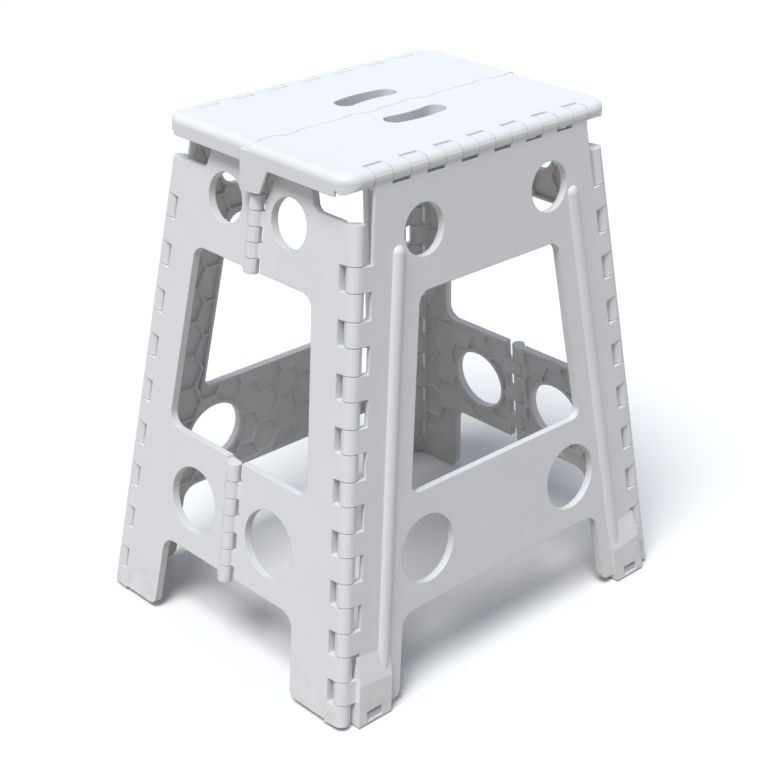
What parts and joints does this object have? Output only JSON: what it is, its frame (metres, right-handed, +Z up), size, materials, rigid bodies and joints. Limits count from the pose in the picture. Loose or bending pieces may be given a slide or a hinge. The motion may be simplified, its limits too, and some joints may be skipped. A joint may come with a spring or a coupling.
{
  "type": "folding step stool",
  "caption": "Tall folding step stool in white moulded plastic, with a split seat, hand slots, pierced trestle sides on interlocking hinges and rubber foot pads.",
  "frame": {"origin": "on the floor, under the middle of the open stool", "axes": "+Z up; X along the seat and its centre split, -X is the end whose centre hinge is pinned to the front; -Y is the front, the wide side whose panel is the root body"},
  "size_m": [0.3948, 0.3224, 0.45],
  "materials": {
    "seat_plastic": "satin moulded polypropylene, smooth top",
    "panel_plastic": "satin moulded polypropylene, fine grain",
    "hinge_steel": "plain drawn steel wire",
    "pad_rubber": "pale grey soft rubber"
  },
  "bodies": {
    "front_leg": {"front_leg_panel": "panel_plastic", "front_left_foot_pad": "pad_rubber", "front_right_foot_pad": "pad_rubber"},
    "left_front_end": {"left_end_front_half": "panel_plastic", "left_upper_hinge_rod": "hinge_steel", "left_lower_hinge_rod": "hinge_steel"},
    "left_rear_end": {"left_end_rear_half": "panel_plastic"},
    "rear_leg": {"rear_leg_panel": "panel_plastic", "rear_left_foot_pad": "pad_rubber", "rear_right_foot_pad": "pad_rubber"},
    "right_front_end": {"right_end_front_half": "panel_plastic", "right_upper_hinge_rod": "hinge_steel", "right_lower_hinge_rod": "hinge_steel"},
    "right_rear_end": {"right_end_rear_half": "panel_plastic"},
    "front_seat": {"seat_front_half": "seat_plastic", "seat_left_pin": "hinge_steel", "seat_right_pin": "hinge_steel"},
    "rear_seat": {"seat_rear_half": "seat_plastic"}
  },
  "joints": [
    {"name": "front_left_corner_hinge", "type": "hinge", "parent": "front_leg", "child": "left_front_end", "pos_m": [-0.1904, -0.149, 0], "axis": [-0.1331, -0.1042, -0.9856], "range_deg": [0, 90.81]},
    {"name": "left_end_centre_hinge", "type": "hinge", "parent": "left_front_end", "child": "left_rear_end", "pos_m": [-0.16431, 0, 0.25], "axis": [0.1338, 0, 0.991], "range_deg": [0, 180]},
    {"name": "rear_left_corner_hinge", "type": "hinge", "parent": "left_rear_end", "child": "rear_leg", "pos_m": [-0.1904, 0.149, 0], "axis": [-0.1331, 0.1042, -0.9856], "range_deg": [0, 90.81]},
    {"name": "front_right_corner_hinge", "type": "hinge", "parent": "front_leg", "child": "right_front_end", "pos_m": [0.1904, -0.149, 0], "axis": [-0.1331, 0.1042, 0.9856], "range_deg": [0, 90.81]},
    {"name": "rear_right_corner_hinge", "type": "hinge", "parent": "rear_leg", "child": "right_rear_end", "pos_m": [0.1904, 0.149, 0], "axis": [0.1331, 0.1042, -0.9856], "range_deg": [0, 90.81]},
    {"name": "front_seat_hinge", "type": "hinge", "parent": "front_leg", "child": "front_seat", "pos_m": [0, -0.10422, 0.4428], "axis": [1, 0, 0], "range_deg": [0, 83.97]},
    {"name": "rear_seat_hinge", "type": "hinge", "parent": "rear_leg", "child": "rear_seat", "pos_m": [0, 0.10422, 0.4428], "axis": [-1, 0, 0], "range_deg": [0, 83.97]}
  ],
  "couplings": [
    {"joint": "left_end_centre_hinge", "follows": "front_left_corner_hinge", "ratio": 1.9823},
    {"joint": "rear_left_corner_hinge", "follows": "front_left_corner_hinge", "ratio": 1},
    {"joint": "front_right_corner_hinge", "follows": "front_left_corner_hinge", "ratio": 1},
    {"joint": "rear_right_corner_hinge", "follows": "front_left_corner_hinge", "ratio": 1},
    {"joint": "front_seat_hinge", "follows": "front_left_corner_hinge", "ratio": 0.9247},
    {"joint": "rear_seat_hinge", "follows": "front_left_corner_hinge", "ratio": 0.9247}
  ]
}
